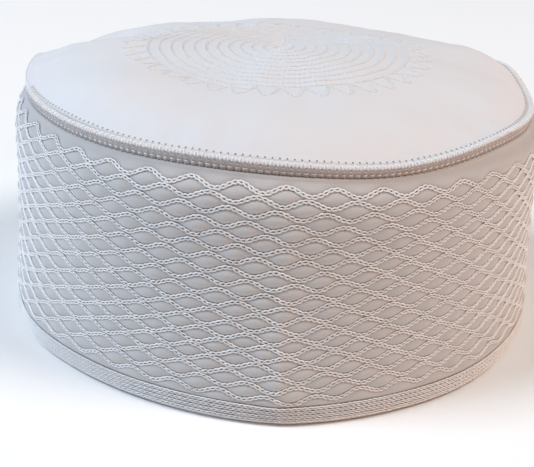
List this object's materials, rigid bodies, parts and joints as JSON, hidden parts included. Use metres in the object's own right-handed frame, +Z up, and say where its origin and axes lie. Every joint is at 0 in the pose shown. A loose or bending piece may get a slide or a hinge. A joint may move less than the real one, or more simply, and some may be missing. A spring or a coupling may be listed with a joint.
{
  "type": "embroidered kufi cap",
  "caption": "Soft round prayer cap with a quilted, embroidered side band, a rolled seam and a flat puffed crown; worn on the head.",
  "frame": {"origin": "middle of the head opening, on the surface that the hem stands on", "axes": "+Z up towards the crown, -Y towards the front fold, +X to the right as seen from the front"},
  "size_m": [0.1898, 0.1972, 0.0915],
  "materials": {
    "hem_cotton": "white cotton under close rows of white chain stitch",
    "band_cotton": "white quilted cotton with a net of chain stitch",
    "welt_cotton": "rolled white cotton seam with ladder stitches",
    "crown_cotton": "smooth white cotton poplin with a chain-stitch spiral",
    "embroidery_thread": "glossy white machine embroidery thread"
  },
  "bodies": {
    "root": {"hem": "hem_cotton", "band": "band_cotton", "welt": "welt_cotton", "crown": "crown_cotton"}
  },
  "joints": []
}
